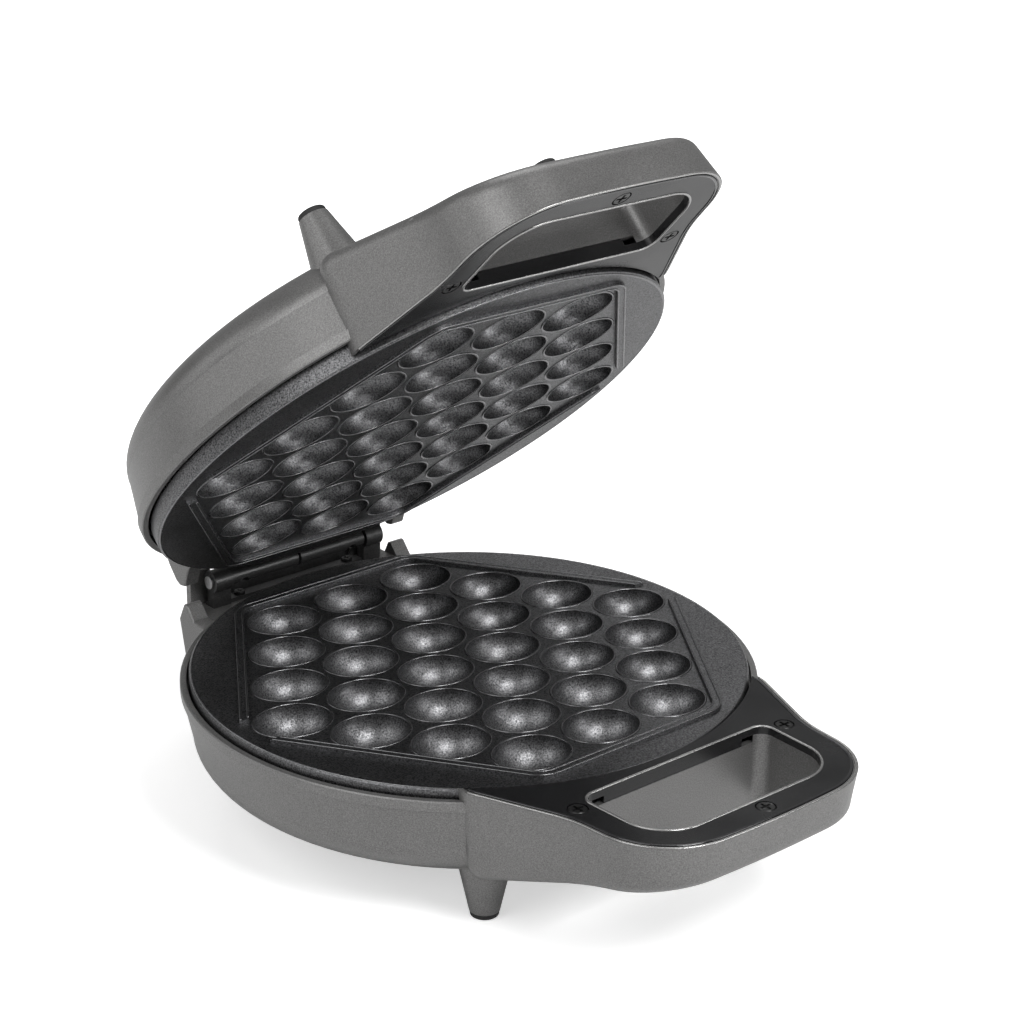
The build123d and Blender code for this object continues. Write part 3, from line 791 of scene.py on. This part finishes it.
@dataclass
class HandleTrim:
    """The bright edges of one half's handle: the cover's edge, the shell's and the gap's rim."""

    half: Half
    plate_radius: float = 0.09585
    reach: float = 0.0537
    root_half_width: float = 0.044
    root_overlap: float = 0.05085
    shoulder_half_width: float = 0.067
    shoulder_overlap: float = 0.0238
    shoulder_radius: float = 0.012
    waist_half_width: float = 0.052
    waist_reach: float = 0.0142
    waist_radius: float = 0.045
    grip_half_width: float = 0.0492
    corner_radius: float = 0.028
    front_bow: float = 0.0024
    bow_radius: float = 0.35
    cover_inset: float = 0.0017
    cover_top: float = 0.0012
    plate_clear: float = 0.0011
    gap_inner: float = 0.1012
    gap_length: float = 0.0348
    gap_half_width: float = 0.0398
    gap_front_half_width: float = 0.0386
    gap_corner_radius: float = 0.0045
    gap_front_radius: float = 0.015
    bead_size: tuple[float, float] = (0.0005, 0.0004)
    edge_sink: float = 0.00014
    edge_clear: float = 0.0006
    rim_inset: float = 0.0008
    rim_level: float = 0.001
    lip_radius: float = 0.0994
    outline_points: int = 900
    gap_points: int = 420

    def handle_outline(self, inset: float) -> np.ndarray:
        """Give the handle's outer outline drawn in by an inset.

        Args:
            inset: How far the line lies inside the outline.

        Returns:
            The line's points.
        """
        right = np.array([
            [self.root_half_width, -(self.plate_radius - self.root_overlap)],
            [self.shoulder_half_width, -(self.plate_radius - self.shoulder_overlap)],
            [self.waist_half_width, -(self.plate_radius + self.waist_reach)],
            [self.grip_half_width, -(self.plate_radius + self.reach - self.front_bow)],
        ])
        front = np.array([[0.0, -(self.plate_radius + self.reach)]])
        corners = np.concatenate([right, front, right[::-1] * (-1, 1)])
        bends = [SHARP_CORNER, self.shoulder_radius, self.waist_radius, self.corner_radius]
        radii = np.array([*bends, self.bow_radius, *bends[::-1]])
        line = resampled(rounded_outline(corners, radii), self.outline_points)
        return line + sideways(line) * inset

    def gap_outline(self) -> np.ndarray:
        """Give the finger gap's outline, straight on the plate's side and round in front.

        Returns:
            The outline's points.
        """
        front = self.gap_inner + self.gap_length
        corners = np.array([
            [self.gap_half_width, -self.gap_inner], [self.gap_front_half_width, -front],
            [-self.gap_front_half_width, -front], [-self.gap_half_width, -self.gap_inner],
        ])
        radii = np.array([
            self.gap_corner_radius, self.gap_front_radius,
            self.gap_front_radius, self.gap_corner_radius,
        ])
        return resampled(rounded_outline(corners, radii), self.gap_points)

    def open_bead(self, name: str, inset: float, level: float, clear: float) -> bpy.types.Object:
        """Make a bead along the handle's outline, from one side of the round body to the other.

        Args:
            name: The object's name.
            inset: How far the bead's middle lies inside the outline.
            level: Height of the bead's middle.
            clear: Radius round the plate's middle inside which there is no bead.

        Returns:
            The bead.
        """
        path = self.handle_outline(inset)
        inward = sideways(path)
        keep = (np.hypot(path[:, 0], path[:, 1]) > clear) & (path[:, 1] < -self.plate_radius / 2)
        surface = Surface()
        for part in stretches(keep):
            grid = bead(path[part], inward[part], level, self.bead_size)
            surface.add_grid(PLACE.carry(closed_ends(grid), self.half, True), wrap_rows=False)
        return surface.mesh(f"{self.half.value}_{name}")

    def gap_rim(self) -> bpy.types.Object:
        """Make the closed bead round the finger gap.

        Returns:
            The bead.
        """
        gap = self.gap_outline()
        outward = -sideways(gap)
        path = gap + outward * self.bead_size[0]
        grid = bead(path, outward, self.cover_top, self.bead_size)
        surface = Surface()
        surface.add_grid(PLACE.carry(grid, self.half, True))
        return surface.mesh(f"{self.half.value}_gap_rim")

    def build(self) -> None:
        """Make, dress and mount the cover's edge, the shell's rim and the gap's rim."""
        edge_inset = self.cover_inset + self.bead_size[0]
        edge_level = self.cover_top - self.edge_sink
        cover_radius = self.plate_radius + self.plate_clear + self.edge_clear
        cover = self.open_bead("cover_edge", edge_inset, edge_level, cover_radius)
        rim = self.open_bead("handle_rim", self.rim_inset, self.rim_level, self.lip_radius)
        # The rims get the lighter grey, a painted highlight on what is the shell's own paint
        for piece, finish in ((cover, COVER_EDGE), (rim, RIM_HIGHLIGHT), (self.gap_rim(), RIM_HIGHLIGHT)):
            finish.dress(piece)
            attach(piece, self.half.value)
            LOG.info("built %s", piece.name)


@dataclass
class HingeShadeStrip:
    """The strip behind the hinge barrels closing the slot over the rear housing, black as painted
    shade.
    """

    half_span: float = 0.031
    middle_back: float = 0.1066
    foot_level: float = -0.0045
    top_level: float = 0.0004
    half_thickness: float = 0.0009
    squareness: float = 4.0
    end_squareness: float = 16.0
    section_points: int = 40
    length_points: int = 31

    def build(self) -> None:
        """Make, dress and mount the strip.

        Its section is a superellipse: each coordinate is the half size times the cosine or sine
        raised to two over the squareness. The section runs straight along the hinge, and near
        both ends it shrinks to its middle by the root of one minus the distance raised to the
        squareness of the ends.
        """
        angle = np.linspace(0.0, 2 * math.pi, self.section_points, endpoint=False)
        power = 2.0 / self.squareness
        depth = np.sign(np.cos(angle)) * np.abs(np.cos(angle)) ** power * self.half_thickness
        half_rise = (self.top_level - self.foot_level) / 2
        rise = np.sign(np.sin(angle)) * np.abs(np.sin(angle)) ** power * half_rise
        along = np.linspace(-1.0, 1.0, self.length_points)
        swell = np.sqrt(1.0 - np.abs(along) ** self.end_squareness)
        grid = np.empty((len(along), len(angle), 3))
        grid[..., 0] = (along * self.half_span)[:, None]
        grid[..., 1] = self.middle_back + swell[:, None] * depth[None, :]
        grid[..., 2] = self.foot_level + half_rise + swell[:, None] * rise[None, :]
        surface = Surface()
        surface.add_grid(PLACE.carry(grid, Half.BASE), wrap_rows=False)
        piece = surface.mesh("hinge_shade_strip")
        # Black here is painted shade: the wall behind the hinge is grey shell paint in shadow
        HINGE_BLACK_AND_SHADE.dress(piece)
        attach(piece, Half.BASE.value)
        LOG.info("built %s", piece.name)


# Studio


@dataclass(frozen=True)
class SoftBox:
    """One square lamp: where it hangs, what it faces, its side in metres and its watts."""

    name: str
    spot: Place
    aim: Place
    side: float
    power: float

    def hang(self) -> None:
        """Make the lamp and turn it to what it faces."""
        lamp = bpy.data.lights.new(self.name, "AREA")
        lamp.shape = "SQUARE"
        lamp.size = self.side
        lamp.energy = self.power
        holder = bpy.data.objects.new(self.name, lamp)
        bpy.context.scene.collection.objects.link(holder)
        holder.location = self.spot
        toward = Vector(self.aim) - Vector(self.spot)
        holder.rotation_euler = toward.to_track_quat("-Z", "Y").to_euler()


SOFT_BOXES = (
    SoftBox("box_main", spot=(0.02, -1.2, 1.36), aim=(0.0, 0.0, 0.08), side=0.68, power=20.0),
    SoftBox("box_right", spot=(0.78, -1.45, 0.47), aim=(0.0, 0.0, 0.12), side=0.5, power=6.5),
    SoftBox("box_left", spot=(-1.5, -0.1, 1.5), aim=(0.0, 0.0, 0.15), side=1.3, power=13.0),
    SoftBox("box_back", spot=(0.75, 1.15, 2.0), aim=(0.0, 0.0, 0.1), side=1.5, power=14.0),
    SoftBox("box_rear_left", spot=(-1.6, 1.5, 0.9), aim=(0.0, 0.0, 0.1), side=1.5, power=7.0),
)


@dataclass
class Studio:
    """The floor, the lamps, the world and the camera."""

    lens: float = 91.406
    sensor: float = 36.0
    camera_spot: Place = (-0.5219966, -0.6059428, 0.4307069)
    camera_right: Place = (0.7573661, -0.6528861, 0.0116779)
    camera_down: Place = (-0.2339404, -0.2879873, -0.92862)
    camera_ahead: Place = (0.6096462, 0.7005734, -0.3708483)
    nearest_seen: float = 0.01
    world_strength: float = 0.2
    floor_half_side: float = 6.0
    floor_white: float = 0.86
    floor_rough: float = 0.9
    floor_specular: float = 0.1
    floor_glow: float = 0.52
    glow_near: float = 0.15
    glow_far: float = 0.7

    def build(self) -> None:
        """Set the whole studio up."""
        self.floor()
        for box in SOFT_BOXES:
            box.hang()
        self.world()
        self.camera()
        bpy.context.scene.view_settings.view_transform = "Standard"

    def floor(self) -> None:
        """Lay a large pale floor that shows white to the camera and keeps the soft shadow.

        To the camera alone it also glows, from the floor glow near the middle up to 1 further
        out, so that the shadow stays but the far floor is as white as the world.
        """
        square = np.array([[-1, -1, 0], [1, -1, 0], [1, 1, 0], [-1, 1, 0]])
        corners = square * self.floor_half_side
        data = bpy.data.meshes.new("studio_floor")
        data.from_pydata(corners, [], [(0, 1, 2, 3)])
        floor = bpy.data.objects.new("studio_floor", data)
        bpy.context.scene.collection.objects.link(floor)
        made = bpy.data.materials.new("floor_white")
        made.use_nodes = True
        board = NodeBoard(made.node_tree)
        shader = made.node_tree.nodes["Principled BSDF"]
        white = self.floor_white
        shader.inputs["Base Color"].default_value = (white, white, white, 1.0)
        shader.inputs["Roughness"].default_value = self.floor_rough
        shader.inputs["Specular IOR Level"].default_value = self.floor_specular
        path = board.node("ShaderNodeLightPath")
        place = board.node("ShaderNodeTexCoord")
        away = board.node("ShaderNodeVectorMath", operation="LENGTH")
        board.link(place.outputs["Object"], away.inputs[0])
        rise = board.spread(
            away.outputs["Value"], self.glow_near, self.glow_far, self.floor_glow, 1.0
        )
        lift = board.node("ShaderNodeMath", operation="MULTIPLY")
        board.link(path.outputs["Is Camera Ray"], lift.inputs[0])
        board.link(rise, lift.inputs[1])
        shader.inputs["Emission Color"].default_value = (1.0, 1.0, 1.0, 1.0)
        board.link(lift.outputs[0], shader.inputs["Emission Strength"])
        data.materials.append(made)

    def world(self) -> None:
        """Make the world a faint even light that shows white to the camera."""
        world = bpy.data.worlds.new("studio_world")
        bpy.context.scene.world = world
        world.use_nodes = True
        board = NodeBoard(world.node_tree)
        ground = world.node_tree.nodes["Background"]
        ground.inputs["Color"].default_value = (1.0, 1.0, 1.0, 1.0)
        path = board.node("ShaderNodeLightPath")
        strength = board.node("ShaderNodeMapRange")
        strength.inputs["To Min"].default_value = self.world_strength
        strength.inputs["To Max"].default_value = 1.0
        board.link(path.outputs["Is Camera Ray"], strength.inputs["Value"])
        board.link(strength.outputs["Result"], ground.inputs["Strength"])

    def camera(self) -> None:
        """Stand the camera where the photograph was taken from."""
        data = bpy.data.cameras.new("photo_camera")
        data.lens = self.lens
        data.sensor_width = self.sensor
        data.sensor_fit = "HORIZONTAL"
        data.clip_start = self.nearest_seen
        camera = bpy.data.objects.new("photo_camera", data)
        bpy.context.scene.collection.objects.link(camera)
        right = Vector(self.camera_right)
        up = -Vector(self.camera_down)
        back = -Vector(self.camera_ahead)
        turn = Matrix((right, up, back)).transposed().to_4x4()
        camera.matrix_world = Matrix.Translation(Vector(self.camera_spot)) @ turn
        bpy.context.scene.camera = camera


# The waffle maker


@dataclass
class CarriedPieces:
    """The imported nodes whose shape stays, with the finish each of them gets."""

    finishes: dict[str, Finish]

    def dress(self, nodes: dict[str, bpy.types.Object]) -> None:
        """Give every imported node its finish.

        Args:
            nodes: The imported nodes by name.
        """
        for name, piece in nodes.items():
            finish = self.finishes[name]
            finish.dress(piece)
            LOG.info("dressed %s in %s", name, finish.name)


def node_finishes() -> dict[str, Finish]:
    """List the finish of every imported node.

    Returns:
        Finishes by node name.
    """
    shared = {
        "shell": SHELL_PAINT, "handle_cover": COVER_BLACK, "cover_screws": SCREW_BLACK,
        "plate": NON_STICK, "heating_element": ELEMENT_STEEL, "reflector": BRIGHT_SHEET,
        "plate_screws": ZINC, "foot_pads": PAD_RUBBER, "hinge_bracket": HINGE_BLACK_AND_SHADE,
        "hinge_screws": SCREW_BLACK,
    }
    named = {f"{half.value}_{part}": finish for part, finish in shared.items() for half in Half}
    named.update({
        "hinge_pin": ZINC, "cord_bush": PAD_RUBBER, "terminal_block": BLOCK_CREAM,
        "thermostat": BRIGHT_SHEET, "thermal_fuse": BRIGHT_SHEET, "lamp_holder": BLOCK_CREAM,
        "power_lamp_lens": LENS_RED, "ready_lamp_lens": LENS_GREEN,
    })
    return named


def main() -> None:
    """Build the scene in order and report each piece."""
    logging.basicConfig(level=logging.INFO, format="%(message)s")
    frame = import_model()
    CarriedPieces(node_finishes()).dress(frame["nodes"])
    for half in Half:
        BowlPlate(half).build()
        HandleTrim(half).build()
    HingeShadeStrip().build()
    Studio().build()


if __name__ == "__main__":
    main()
